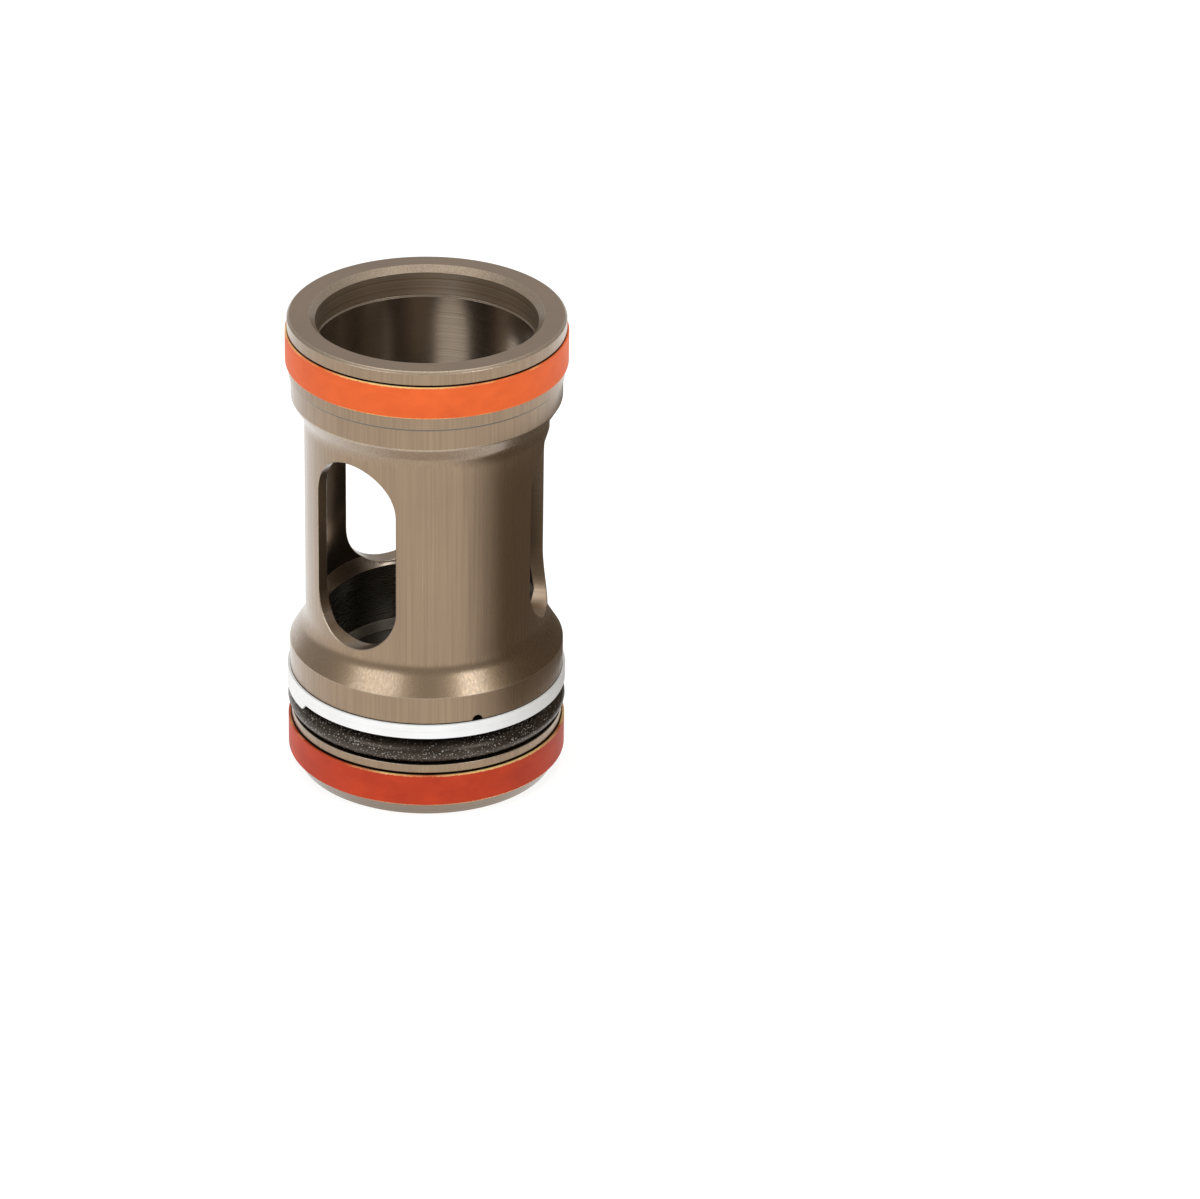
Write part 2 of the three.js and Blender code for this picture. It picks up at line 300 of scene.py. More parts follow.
def round_corners(corners):
    """corners: (radius, height, edge, finish). Gives points [radius, height] and one finish per run."""
    places = [np.array(corner[:2], float) for corner in corners]
    points, finishes = [], []
    for index, (radius, height, edge, finish) in enumerate(corners):
        here = places[index]
        before = places[index - 1] - here
        after = places[(index + 1) % len(corners)] - here
        before_length, after_length = np.linalg.norm(before), np.linalg.norm(after)
        before, after = before / before_length, after / after_length
        half = math.acos(max(-1.0, min(1.0, float(before @ after)))) / 2
        arc = []
        if edge > 0 and abs(half - math.pi / 2) > 0.02:
            reach = min(edge / math.tan(half), before_length * 0.45, after_length * 0.45)
            real_edge = reach * math.tan(half)
            middle = (before + after) / np.linalg.norm(before + after)
            centre = here + middle * real_edge / math.sin(half)
            start = here + before * reach - centre
            end = here + after * reach - centre
            turn = math.atan2(start[0] * end[1] - start[1] * end[0], float(start @ end))
            for step in range(ARC_STEPS + 1):
                angle = turn * step / ARC_STEPS
                spin = np.array([[math.cos(angle), -math.sin(angle)], [math.sin(angle), math.cos(angle)]])
                arc.append(centre + spin @ start)
        else:
            arc.append(here)
        for step, place in enumerate(arc):
            points.append(place)
            finishes.append("edge" if step < len(arc) - 1 else finish)
    return points, finishes


def divide_runs(points, finishes):
    """Long straight runs are divided, so that no face is much longer than LONGEST_RUN."""
    fine_points, fine_finishes = [], []
    for index, start in enumerate(points):
        end = points[(index + 1) % len(points)]
        pieces = max(1, math.ceil(np.linalg.norm(end - start) / LONGEST_RUN))
        for piece in range(pieces):
            fine_points.append(start + (end - start) * piece / pieces)
            fine_finishes.append(finishes[index])
    return fine_points, fine_finishes


# %% [markdown]
# ## The sleeve's outline
#
# It runs up the outside from the seal end to the plain rim, and back down through the bore. Each taper
# meets the waist in a fillet, which is worked out from its slope and radius. The grooves, the small bore,
# the floor and a short run under the upper step are painted dark, a painted shade for the shade in them.

# %% Sleeve outline
SHARP, BROKEN = 0.06, 0.15
STEP_SHADE = 0.4
FOOT_RADIUS, FOOT_TAPER = 23.4, 2.4
RIM_CHAMFER = 0.4
MOUTH_RADIUS, MOUTH_CHAMFER = 21.05, 1.1
MOUTH_BORE_RADIUS, MOUTH_BORE_END, MOUTH_BLEND = 19.95, 83.5, 0.25
FLOOR_CHAMFER = 1.3
DISH_RADIUS, DISH_DEPTH = 10.0, 0.25
PORT_CHAMFER = 0.5
RECESS_CHAMFER = 1.0
FILLET_STEPS = 10


def taper_fillet(collar_radius, start, direction):
    run = (collar_radius - WAIST_RADIUS) / math.tan(TAPER_SLOPE)
    centre_height = start + direction * (run + TAPER_FILLET * math.tan(TAPER_SLOPE / 2))
    rows = []
    for step in range(FILLET_STEPS + 1):
        angle = TAPER_SLOPE * (1 - step / FILLET_STEPS)
        radius = WAIST_RADIUS + TAPER_FILLET * (1 - math.cos(angle))
        rows.append((radius, centre_height - direction * TAPER_FILLET * math.sin(angle), 0, "turned"))
    return rows


LOWER_RING_TOP = LOWER_RING_FLOOR + WEAR_GROOVE_WIDTH
UPPER_RING_TOP = UPPER_RING_FLOOR + WEAR_GROOVE_WIDTH
THREAD_TOP, THREAD_BOTTOM = 16.6, 10.0

outside = [
    (FOOT_RADIUS, 0, BROKEN, "lead_in"),
    (LAND_RADIUS, FOOT_TAPER, 0.05, "turned"),
    (LAND_RADIUS, LOWER_RING_FLOOR, 0.05, "deep"),
    (WEAR_GROOVE_RADIUS, LOWER_RING_FLOOR, SHARP, "deep"),
    (WEAR_GROOVE_RADIUS, LOWER_RING_TOP, SHARP, "deep"),
    (LAND_RADIUS, LOWER_RING_TOP, BROKEN, "turned"),
    (LAND_RADIUS, SEAL_GROOVE_FLOOR, BROKEN, "deep"),
    (SEAL_GROOVE_RADIUS, SEAL_GROOVE_FLOOR, 0.3, "deep"),
    (SEAL_GROOVE_RADIUS, SEAL_GROOVE_TOP, 0.3, "deep"),
    (COLLAR_RADIUS, SEAL_GROOVE_TOP, BROKEN, "turned"),
    (COLLAR_RADIUS, LOWER_TAPER_START, 0.25, "turned"),
    *taper_fillet(COLLAR_RADIUS, LOWER_TAPER_START, 1),
    *reversed(taper_fillet(UPPER_COLLAR_RADIUS, UPPER_TAPER_END, -1)),
    (UPPER_COLLAR_RADIUS, UPPER_TAPER_END, 0.8, "turned"),
    (UPPER_COLLAR_RADIUS, UPPER_STEP - STEP_SHADE, 0, "deep"),
    (UPPER_COLLAR_RADIUS, UPPER_STEP, 0.02, "deep"),
    (LAND_RADIUS, UPPER_STEP, SHARP, "turned"),
    (LAND_RADIUS, UPPER_RING_FLOOR, SHARP, "deep"),
    (WEAR_GROOVE_RADIUS, UPPER_RING_FLOOR, SHARP, "deep"),
    (WEAR_GROOVE_RADIUS, UPPER_RING_TOP, SHARP, "deep"),
    (RIM_RADIUS, UPPER_RING_TOP, SHARP, "turned"),
    (RIM_RADIUS, HEIGHT - RIM_CHAMFER, 0.2, "edge"),
    (RIM_RADIUS - RIM_CHAMFER, HEIGHT, 0.2, "faced"),
]
inside = [
    (MOUTH_RADIUS, HEIGHT, SHARP, "coarse"),
    (MOUTH_BORE_RADIUS, HEIGHT - MOUTH_CHAMFER, SHARP, "landed"),
    (MOUTH_BORE_RADIUS, MOUTH_BORE_END, SHARP, "bored"),
    (BORE_RADIUS, MOUTH_BORE_END - MOUTH_BLEND, SHARP, "bored"),
    (BORE_RADIUS, LEDGE_TOP, BROKEN, "bored"),
    (SMALL_BORE_RADIUS, LEDGE_END, BROKEN, "deep"),
    (SMALL_BORE_RADIUS, FLOOR_HEIGHT + FLOOR_CHAMFER, SHARP, "deep"),
    (SMALL_BORE_RADIUS - FLOOR_CHAMFER, FLOOR_HEIGHT, SHARP, "deep"),
    (DISH_RADIUS, FLOOR_HEIGHT, SHARP, "deep"),
    (DISH_RADIUS - DISH_DEPTH, FLOOR_HEIGHT - DISH_DEPTH, SHARP, "deep"),
    (PORT_RADIUS + PORT_CHAMFER, FLOOR_HEIGHT - DISH_DEPTH, SHARP, "coarse"),
    (PORT_RADIUS, THREAD_TOP, 0, "threaded"),
    (PORT_RADIUS, THREAD_BOTTOM, 0, "bored"),
    (PORT_RADIUS, RECESS_DEPTH, SHARP, "faced"),
    (RECESS_RADIUS, RECESS_DEPTH, 0.3, "bored"),
    (RECESS_RADIUS, RECESS_CHAMFER, SHARP, "bored"),
    (RECESS_RADIUS + RECESS_CHAMFER, 0, SHARP, "faced"),
]
outline_points, outline_finishes = divide_runs(*round_corners(outside + inside))
print("outline rows:", len(outline_points))

# %% [markdown]
# ## The port's thread
#
# The small port carries a fine internal thread. A thread on a lathe mesh needs no screw tool: each ring
# of points is pushed outwards by an amount that depends on its height and on the angle around the
# axis, so that the groove climbs one pitch in each turn. It fades out over one pitch at both ends.

# %% Thread rows
ROUND_STEPS = 288
THREAD_PITCH = 1.5
THREAD_DEPTH = 0.78
THREAD_ROWS_PER_PITCH = 12
THREAD_GROOVE, THREAD_FLANK = 1.25, 1.5
SAME = 1e-6


def thread_depth(height, angle):
    phase = (height / THREAD_PITCH - angle / (2 * math.pi)) % 1.0
    groove = min(1.0, max(0.0, THREAD_GROOVE - abs(2 * phase - 1) * THREAD_FLANK))
    fade_in = min(1.0, max(0.0, (THREAD_TOP - height) / THREAD_PITCH))
    fade_out = min(1.0, max(0.0, (height - THREAD_BOTTOM) / THREAD_PITCH))
    return THREAD_DEPTH * groove * fade_in * fade_out


def is_thread(start, end):
    at_port = abs(start[0] - PORT_RADIUS) < SAME and abs(end[0] - PORT_RADIUS) < SAME
    low, high = min(start[1], end[1]), max(start[1], end[1])
    return at_port and THREAD_BOTTOM - SAME <= low and high <= THREAD_TOP + SAME


def add_thread_rows(points, finishes):
    rows, row_finishes = [], []
    for index, start in enumerate(points):
        end = points[(index + 1) % len(points)]
        pieces = 1
        if is_thread(start, end):
            pieces = math.ceil(abs(end[1] - start[1]) / THREAD_PITCH * THREAD_ROWS_PER_PITCH)
        for piece in range(pieces):
            rows.append(start + (end - start) * piece / pieces)
            row_finishes.append(finishes[index])
    return rows, row_finishes


# %% [markdown]
# ## Spinning an outline into a mesh
#
# The mesh is built ring by ring. Each face remembers the number of its finish in an attribute, so that
# a later Geometry Nodes tree can hand out the materials even after the shape has been cut.

# %% Mesh helpers
def add_object(name, data):
    made = bpy.data.objects.new(name, data)
    bpy.context.scene.collection.objects.link(made)
    return made


def make_piece(name, points_mm, faces, finish_numbers=None):
    mesh = bpy.data.meshes.new(name)
    mesh.from_pydata([tuple(float(value) * MM for value in point) for point in points_mm], [], faces)
    if finish_numbers is not None:
        stored = mesh.attributes.new("finish", "INT", "FACE")
        stored.data.foreach_set("value", finish_numbers)
    mesh.polygons.foreach_set("use_smooth", [True] * len(mesh.polygons))
    mesh.update()
    return add_object(name, mesh)


def face_outwards(made):
    shape = bmesh.new()
    shape.from_mesh(made.data)
    bmesh.ops.recalc_face_normals(shape, faces=shape.faces)
    shape.to_mesh(made.data)
    shape.free()


def spin_outline(name, rows, row_finishes, push=None):
    points, faces, numbers = [], [], []
    for radius, height in rows:
        for step in range(ROUND_STEPS):
            angle = 2 * math.pi * step / ROUND_STEPS
            reach = radius
            if push is not None and abs(radius - PORT_RADIUS) < SAME:
                reach += push(height, angle)
            points.append((reach * math.cos(angle), reach * math.sin(angle), height))
    count = len(rows)
    for row in range(count):
        above = (row + 1) % count
        for step in range(ROUND_STEPS):
            beside = (step + 1) % ROUND_STEPS
            faces.append((row * ROUND_STEPS + step, row * ROUND_STEPS + beside,
                          above * ROUND_STEPS + beside, above * ROUND_STEPS + step))
            numbers.append(FINISH_ORDER.index(row_finishes[row]))
    return make_piece(name, points, faces, numbers)


sleeve_blank = spin_outline("sleeve_blank", *add_thread_rows(outline_points, outline_finishes), thread_depth)
print("sleeve blank faces:", len(sleeve_blank.data.polygons))

# %% [markdown]
# ## The window cutter
#
# A long window with full-round ends is milled through the wall. The cutter is a loft of six copies of
# the window's outline. Where it leaves the wall, inside and outside, the copy is a little larger, which
# breaks the window's edges just as a deburring tool does. Those copies follow the curved wall, so the
# broken edge keeps its width all the way round.

# %% Window cutter
WINDOW_END_STEPS = 28
WINDOW_SIDE_STEPS = 12
OUTER_BREAK, INNER_BREAK = 0.16, 0.1
CUTTER_INNER_REACH, CUTTER_OUTER_REACH = 14.0, 28.0
WALL_CLEARANCE = 0.05

outer_rows = np.array([row[:2] for row in outside if LOWER_TAPER_START <= row[1] <= UPPER_TAPER_END])
inner_rows = np.array([(SMALL_BORE_RADIUS, LEDGE_END), (BORE_RADIUS, LEDGE_TOP)])


def outer_wall(height):
    return float(np.interp(height, outer_rows[:, 1], outer_rows[:, 0]))


def inner_wall(height):
    return float(np.interp(height, inner_rows[:, 1], inner_rows[:, 0]))


def window_outline(growth):
    """Points (across, height) of the window's outline, grown outwards by growth."""
    half = WINDOW_HALF_WIDTH
    top, bottom = WINDOW_TOP - half, WINDOW_BOTTOM + half
    places = []
    for centre, first in ((top, 0.0), (bottom, math.pi)):
        for step in range(WINDOW_END_STEPS + 1):
            angle = first + math.pi * step / WINDOW_END_STEPS
            places.append(((half + growth) * math.cos(angle), centre + (half + growth) * math.sin(angle)))
        side = 1 if first else -1
        other = bottom if centre == top else top
        for step in range(1, WINDOW_SIDE_STEPS):
            places.append((side * (half + growth), centre + (other - centre) * step / WINDOW_SIDE_STEPS))
    return places


def cutter_loop(growth, reach_at):
    loop = []
    for across, height in window_outline(growth):
        reach = reach_at(height)
        loop.append((across, -math.sqrt(reach * reach - across * across), height))
    return loop


cutter_loops = [
    cutter_loop(INNER_BREAK + WALL_CLEARANCE, lambda height: CUTTER_INNER_REACH),
    cutter_loop(INNER_BREAK + WALL_CLEARANCE, lambda height: inner_wall(height) - WALL_CLEARANCE),
    cutter_loop(0, lambda height: inner_wall(height) + INNER_BREAK),
    cutter_loop(0, lambda height: outer_wall(height) - OUTER_BREAK),
    cutter_loop(OUTER_BREAK + WALL_CLEARANCE, lambda height: outer_wall(height) + WALL_CLEARANCE),
    cutter_loop(OUTER_BREAK + WALL_CLEARANCE, lambda height: CUTTER_OUTER_REACH),
]
LOOP_FINISHES = ("edge", "edge", "milled", "edge", "edge")


def loft_loops(name, loops, run_finishes):
    """Joins closed loops of equal length into one closed solid, with a fan over each end."""
    count = len(loops[0])
    points = [point for loop in loops for point in loop]
    faces, numbers = [], []
    for run, finish in enumerate(run_finishes):
        for step in range(count):
            beside = (step + 1) % count
            first = run * count
            faces.append((first + step, first + beside, first + count + beside, first + count + step))
            numbers.append(FINISH_ORDER.index(finish))
    for loop_number in (0, len(loops) - 1):
        hub = len(points)
        points.append(tuple(np.mean(loops[loop_number], axis=0)))
        first = loop_number * count
        for step in range(count):
            beside = (step + 1) % count
            faces.append((hub, first + step, first + beside))
            numbers.append(FINISH_ORDER.index("milled"))
    made = make_piece(name, points, faces, numbers)
    face_outwards(made)
    return made


window_cutter = loft_loops("window_cutter", cutter_loops, LOOP_FINISHES)

BLEED_RADIUS, BLEED_HEIGHT, BLEED_AT = 1.0, 19.3, math.radians(-30)
BLEED_STEPS = 40
BLEED_INNER_REACH, BLEED_OUTER_REACH = 16.5, 27.0


def bleed_loop(reach):
    loop = []
    for step in range(BLEED_STEPS):
        angle = 2 * math.pi * step / BLEED_STEPS
        across, height = BLEED_RADIUS * math.cos(angle), BLEED_HEIGHT + BLEED_RADIUS * math.sin(angle)
        loop.append((reach * math.cos(BLEED_AT) - across * math.sin(BLEED_AT),
                     reach * math.sin(BLEED_AT) + across * math.cos(BLEED_AT), height))
    return loop


# The bleed hole's wall takes the deep finish, a painted shade for its dark inside.
bleed_cutter = loft_loops(
    "bleed_cutter", [bleed_loop(BLEED_INNER_REACH), bleed_loop(BLEED_OUTER_REACH)], ("deep",))
print("cutter faces:", len(window_cutter.data.polygons), len(bleed_cutter.data.polygons))

# %% [markdown]
# ## Milling with Geometry Nodes
#
# The three windows are one cutter repeated around the axis, so a tree places them: it makes as many
# points as there are windows, puts a turned copy of the cutter on each, and takes them all away from
# the blank. Changing one number would give the sleeve four windows. The tree's last step reads the
# finish stored on each face and sets its material.

# %% Geometry Nodes helpers
def start_tree(name, **inputs):
    """Each input is given as its kind, such as Float, Int, Object or Geometry."""
    tree = bpy.data.node_groups.new(name, "GeometryNodeTree")
    tree.interface.new_socket("Geometry", in_out="INPUT", socket_type="NodeSocketGeometry")
    for label, kind in inputs.items():
        tree.interface.new_socket(label.replace("_", " "), in_out="INPUT", socket_type="NodeSocket" + kind)
    tree.interface.new_socket("Geometry", in_out="OUTPUT", socket_type="NodeSocketGeometry")
    return tree, tree.nodes.new("NodeGroupInput"), tree.nodes.new("NodeGroupOutput")


def keep_result(made):
    """Keeps what the modifiers make as a plain mesh, and removes the modifiers."""
    evaluated = made.evaluated_get(bpy.context.evaluated_depsgraph_get())
    result = bpy.data.meshes.new_from_object(evaluated)
    made.modifiers.clear()
    made.data = result


def run_tree(made, tree, **values):
    """Runs the tree on an object and keeps the result."""
    modifier = made.modifiers.new(tree.name, "NODES")
    modifier.node_group = tree
    for item in tree.interface.items_tree:
        label = item.name.replace(" ", "_")
        if item.in_out == "INPUT" and label in values:
            modifier[item.identifier] = values[label]
    keep_result(made)
    return made


def smooth_by_angle(made, degrees=32):
    """Shades smooth below the angle, and lets the large faces decide how the small ones are shaded."""
    made.data.polygons.foreach_set("use_smooth", [True] * len(made.data.polygons))
    made.data.set_sharp_from_angle(angle=math.radians(degrees))
    weighted = made.modifiers.new("weighted", "WEIGHTED_NORMAL")
    weighted.keep_sharp = True
    weighted.weight = 100
    keep_result(made)


# %% Milling tree
milling, given, result = start_tree(
    "milling", Windows="Int", First_angle="Float", Window_cutter="Object", Bleed_cutter="Object")
link = milling.links.new
points = add_node(milling, "GeometryNodePoints")
link(given.outputs["Windows"], points.inputs["Count"])
number = add_node(milling, "GeometryNodeInputIndex")
share = add_node(milling, "ShaderNodeMath", operation="DIVIDE")
link(number.outputs[0], share.inputs[0])
link(given.outputs["Windows"], share.inputs[1])
turn = add_node(milling, "ShaderNodeMath", operation="MULTIPLY_ADD")
turn.inputs[1].default_value = 2 * math.pi
link(share.outputs[0], turn.inputs[0])
link(given.outputs["First angle"], turn.inputs[2])
around_z = add_node(milling, "ShaderNodeCombineXYZ")
link(turn.outputs[0], around_z.inputs["Z"])
window_shape = add_node(milling, "GeometryNodeObjectInfo")
link(given.outputs["Window cutter"], window_shape.inputs["Object"])
copies = add_node(milling, "GeometryNodeInstanceOnPoints")
link(points.outputs[0], copies.inputs["Points"])
link(window_shape.outputs["Geometry"], copies.inputs["Instance"])
link(around_z.outputs[0], copies.inputs["Rotation"])
window_solids = add_node(milling, "GeometryNodeRealizeInstances")
link(copies.outputs[0], window_solids.inputs[0])
bleed_shape = add_node(milling, "GeometryNodeObjectInfo")
link(given.outputs["Bleed cutter"], bleed_shape.inputs["Object"])
milled = add_node(milling, "GeometryNodeMeshBoolean", operation="DIFFERENCE", solver="EXACT")
link(given.outputs["Geometry"], milled.inputs["Mesh 1"])
link(window_solids.outputs[0], milled.inputs["Mesh 2"])
link(bleed_shape.outputs["Geometry"], milled.inputs["Mesh 2"])
realised = add_node(milling, "GeometryNodeRealizeInstances")
link(milled.outputs[0], realised.inputs[0])
flow = realised.outputs[0]
for finish_number, finish_name in enumerate(FINISH_ORDER):
    stored = add_node(milling, "GeometryNodeInputNamedAttribute", data_type="INT")
    stored.inputs["Name"].default_value = "finish"
    same = add_node(milling, "FunctionNodeCompare", data_type="INT", operation="EQUAL")
    same.inputs[3].default_value = finish_number
    link(stored.outputs[0], same.inputs[2])
    paint = add_node(milling, "GeometryNodeSetMaterial")
    paint.inputs["Material"].default_value = SLEEVE_FINISHES[finish_name]
    link(flow, paint.inputs["Geometry"])
    link(same.outputs[0], paint.inputs["Selection"])
    flow = paint.outputs[0]
link(flow, result.inputs[0])

valve_sleeve = run_tree(sleeve_blank, milling, Windows=WINDOW_COUNT, First_angle=0.0,
                        Window_cutter=window_cutter, Bleed_cutter=bleed_cutter)
valve_sleeve.name = "sleeve"
for cutter in (window_cutter, bleed_cutter):
    bpy.data.objects.remove(cutter)
smooth_by_angle(valve_sleeve)
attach(valve_sleeve, "sleeve")
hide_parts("valve_sleeve")
print("sleeve faces:", len(valve_sleeve.data.polygons), "materials:", len(valve_sleeve.data.materials))

# %% [markdown]
# ## The guide rings
#
# Each guide ring is a flat band of cotton fabric soaked in resin and machined to size, cut once on a
# slant so that it can be sprung into its groove. The cut fibres show as a pale, ragged line along both
# edges. The band is a rounded section swept almost the whole way round, and sheared along its height,
# which slants the two cut ends and changes nothing else.

# %% Fabric resin finish
CUT_FIBRE = (0.90, 0.60, 0.24)
FIBRE_BAND = 0.30


def fabric_resin(name, light, dark, low_mm, high_mm, land_mm):
    """The cut fibres show at the edges low_mm and high_mm. Inside the radius land_mm the faces get a painted
    shade, near black, for the shade under the land.
    """
    material, tree, shader = start_finish(name, Roughness=0.5, Specular_IOR_Level=0.22)
    weave = stretched_noise(tree, (2600, 2600, 3400), detail=2)
    blotches = stretched_noise(tree, (150, 150, 220), detail=5)
    base = mix_colours(tree, spread(tree, blotches, 0.3, 0.7), dark, light)
    place = add_node(tree, "ShaderNodeTexCoord")
    split = add_node(tree, "ShaderNodeSeparateXYZ")
    tree.links.new(place.outputs["Object"], split.inputs[0])
    ragged = stretched_noise(tree, (5200, 5200, 3600), detail=3, roughness=0.7)
    patchy = stretched_noise(tree, (55, 55, 10), detail=3, roughness=0.6)
    colour = base
    for edge_mm, inwards, width in ((high_mm, -1, FIBRE_BAND), (low_mm, 1, FIBRE_BAND * 0.8)):
        depth = add_node(tree, "ShaderNodeMath", operation="MULTIPLY_ADD")
        depth.inputs[1].default_value = inwards / MM
        depth.inputs[2].default_value = -inwards * edge_mm
        tree.links.new(split.outputs["Z"], depth.inputs[0])
        torn = add_node(tree, "ShaderNodeMath", operation="MULTIPLY_ADD")
        torn.inputs[1].default_value = -2.2 * width
        tree.links.new(ragged, torn.inputs[0])
        tree.links.new(depth.outputs[0], torn.inputs[2])
        bare = spread(tree, torn.outputs[0], -0.35 * width, -0.85 * width)
        shown = add_node(tree, "ShaderNodeMath", operation="MULTIPLY")
        tree.links.new(bare, shown.inputs[0])
        tree.links.new(spread(tree, patchy, 0.44, 0.60, 0.05, 1.0), shown.inputs[1])
        colour = mix_colours(tree, shown.outputs[0], colour, CUT_FIBRE)
    # Painted shade: inside the land's radius the colour turns near black, where the land above shades the
    # ring.
    unshaded = outside_of(tree, land_mm)
    tree.links.new(mix_colours(tree, unshaded, PAINTED_SHADE, colour), shader.inputs["Base Color"])
    tree.links.new(bump(tree, weave, 0.00002, 0.35), shader.inputs["Normal"])
    return material


# %% Guide rings
RING_INNER, RING_OUTER = 22.88, 25.35
RING_PLAY_BELOW, RING_PLAY_ABOVE, RING_EDGE, RING_GAP = 0.04, 0.3, 0.16, 0.9
RING_INNER_EDGE = 0.08
RING_CUT_SLANT = math.radians(15)
RING_STEPS = 300
END_BREAK = 0.12


def band_section(low, high, shrink=0.0):
    """The ring's section, anticlockwise, with broken edges: points (radius, height)."""
    corners = [
        (RING_INNER + shrink, low + shrink, RING_INNER_EDGE, "edge"),
        (RING_OUTER - shrink, low + shrink, RING_EDGE, "edge"),
        (RING_OUTER - shrink, high - shrink, RING_EDGE, "edge"),
        (RING_INNER + shrink, high - shrink, RING_INNER_EDGE, "edge"),
    ]
    return divide_runs(*round_corners(corners))[0]


def guide_ring(name, floor, cut_at):
    low, high = floor + RING_PLAY_BELOW, floor + WEAR_GROOVE_WIDTH - RING_PLAY_ABOVE
    middle_radius, middle_height = (RING_INNER + RING_OUTER) / 2, (low + high) / 2
    full, shrunk = band_section(low, high), band_section(low, high, END_BREAK)
    gap_angle = RING_GAP / math.cos(RING_CUT_SLANT) / middle_radius
    break_angle = END_BREAK / middle_radius
    stations = [(cut_at + gap_angle / 2, shrunk), (cut_at + gap_angle / 2 + break_angle, full)]
    span = 2 * math.pi - gap_angle - 2 * break_angle
    for step in range(1, RING_STEPS):
        stations.append((cut_at + gap_angle / 2 + break_angle + span * step / RING_STEPS, full))
    stations.append((cut_at + gap_angle / 2 + break_angle + span, full))
    stations.append((cut_at - gap_angle / 2 + 2 * math.pi, shrunk))
    return sweep_sections(
        name, stations, lambda height: (height - middle_height) * math.tan(RING_CUT_SLANT) / middle_radius)


def sweep_sections(name, stations, shear):
    """Each station is (angle, section). Joins the sections and closes both ends."""
    count = len(stations[0][1])
    points, faces = [], []
    for angle, section in stations:
        for radius, height in section:
            turned = angle - shear(height)
            points.append((radius * math.cos(turned), radius * math.sin(turned), height))
    for station in range(len(stations) - 1):
        for step in range(count):
            beside = (step + 1) % count
            first = station * count
            faces.append((first + step, first + count + step, first + count + beside, first + beside))
    last = (len(stations) - 1) * count
    faces.append(tuple(range(count)))
    faces.append(tuple(last + step for step in reversed(range(count))))
    made = make_piece(name, points, faces)
    face_outwards(made)
    return made


GUIDE_RINGS = {
    "upper_guide_ring": dict(node="upper_wear_ring", body="upper_guide", slot="orange_fabric_resin",
                             floor=UPPER_RING_FLOOR, cut_at=math.radians(118),
                             light=(0.84, 0.132, 0.022), dark=(0.70, 0.102, 0.016), land=RIM_RADIUS),
    "lower_guide_ring": dict(node="lower_wear_ring", body="lower_guide", slot="red_fabric_resin",
                             floor=LOWER_RING_FLOOR, cut_at=math.radians(74),
                             light=(0.56, 0.045, 0.007), dark=(0.42, 0.030, 0.005),
                             land=LAND_RADIUS + 0.15),
}
for ring_name, ring in GUIDE_RINGS.items():
    low_mm = ring["floor"] + RING_PLAY_BELOW
    high_mm = ring["floor"] + WEAR_GROOVE_WIDTH - RING_PLAY_ABOVE
    made = guide_ring(ring_name, ring["floor"], ring["cut_at"])
    made.data.materials.append(
        fabric_resin(ring_name + "_resin", ring["light"], ring["dark"], low_mm, high_mm, ring["land"]))
    smooth_by_angle(made)
    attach(made, ring["body"])
    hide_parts(ring["node"])
    print(ring_name, "faces:", len(made.data.polygons))

# %% [markdown]
# ## The O-ring
#
# The O-ring is moulded nitrile rubber. The two halves of its mould leave a hairline of flash around its
# widest line, and the backup ring presses its round section into an oval. A circle swept around a circle
# is Curve to Mesh in Geometry Nodes. The flash is a small push along the normal where the surface is
# close to that line, and one factor along the axis makes the oval.

# %% Rubber finish
def rubber(name):
    material, tree, shader = start_finish(
        name, Specular_IOR_Level=0.45, Specular_Tint=(1, 0.82, 0.64, 1), Coat_Weight=0.06, Coat_Roughness=0.2)
    film = stretched_noise(tree, (240, 240, 500), detail=4)
    specks = stretched_noise(tree, (3400, 3400, 3800), detail=1, roughness=0.4)
    crowd = stretched_noise(tree, (110, 110, 520), detail=2)
    base = mix_colours(tree, spread(tree, film, 0.35, 0.7), (0.011, 0.007, 0.005), (0.025, 0.017, 0.012))
    threshold = add_node(tree, "ShaderNodeMath", operation="MULTIPLY_ADD")
    threshold.inputs[1].default_value = 0.22
    tree.links.new(crowd, threshold.inputs[0])
    tree.links.new(specks, threshold.inputs[2])
    dust = spread(tree, threshold.outputs[0], 0.755, 0.79)
    tree.links.new(mix_colours(tree, dust, base, (0.34, 0.32, 0.29)), shader.inputs["Base Color"])
    tree.links.new(spread(tree, film, 0.3, 0.7, 0.24, 0.38), shader.inputs["Roughness"])
    tree.links.new(bump(tree, film, 0.00003, 0.4), shader.inputs["Normal"])
    return material


# %% O-ring tree
O_RING_HALF_WIDTH, O_RING_HALF_HEIGHT = 2.5, 2.1
O_RING_CENTRE_RADIUS, O_RING_CENTRE_HEIGHT = 22.85, 13.0
FLASH_WIDTH, FLASH_HEIGHT = 0.11, 0.035
O_RING_STEPS, SECTION_STEPS = 256, 120
O_RING_SMOOTH_DEGREES = 60

moulding, given, result = start_tree(
    "moulding", Ring_radius="Float", Section_radius="Float", Pressed_to="Float", Height="Float",
    Flash_width="Float", Flash_height="Float")
link = moulding.links.new
path = add_node(moulding, "GeometryNodeCurvePrimitiveCircle")
path.inputs["Resolution"].default_value = O_RING_STEPS
link(given.outputs["Ring radius"], path.inputs["Radius"])
section = add_node(moulding, "GeometryNodeCurvePrimitiveCircle")
section.inputs["Resolution"].default_value = SECTION_STEPS
link(given.outputs["Section radius"], section.inputs["Radius"])
swept = add_node(moulding, "GeometryNodeCurveToMesh")
link(path.outputs[0], swept.inputs["Curve"])
link(section.outputs[0], swept.inputs["Profile Curve"])
place = add_node(moulding, "GeometryNodeInputPosition")
split = add_node(moulding, "ShaderNodeSeparateXYZ")
link(place.outputs[0], split.inputs[0])
away = add_node(moulding, "ShaderNodeMath", operation="ABSOLUTE")
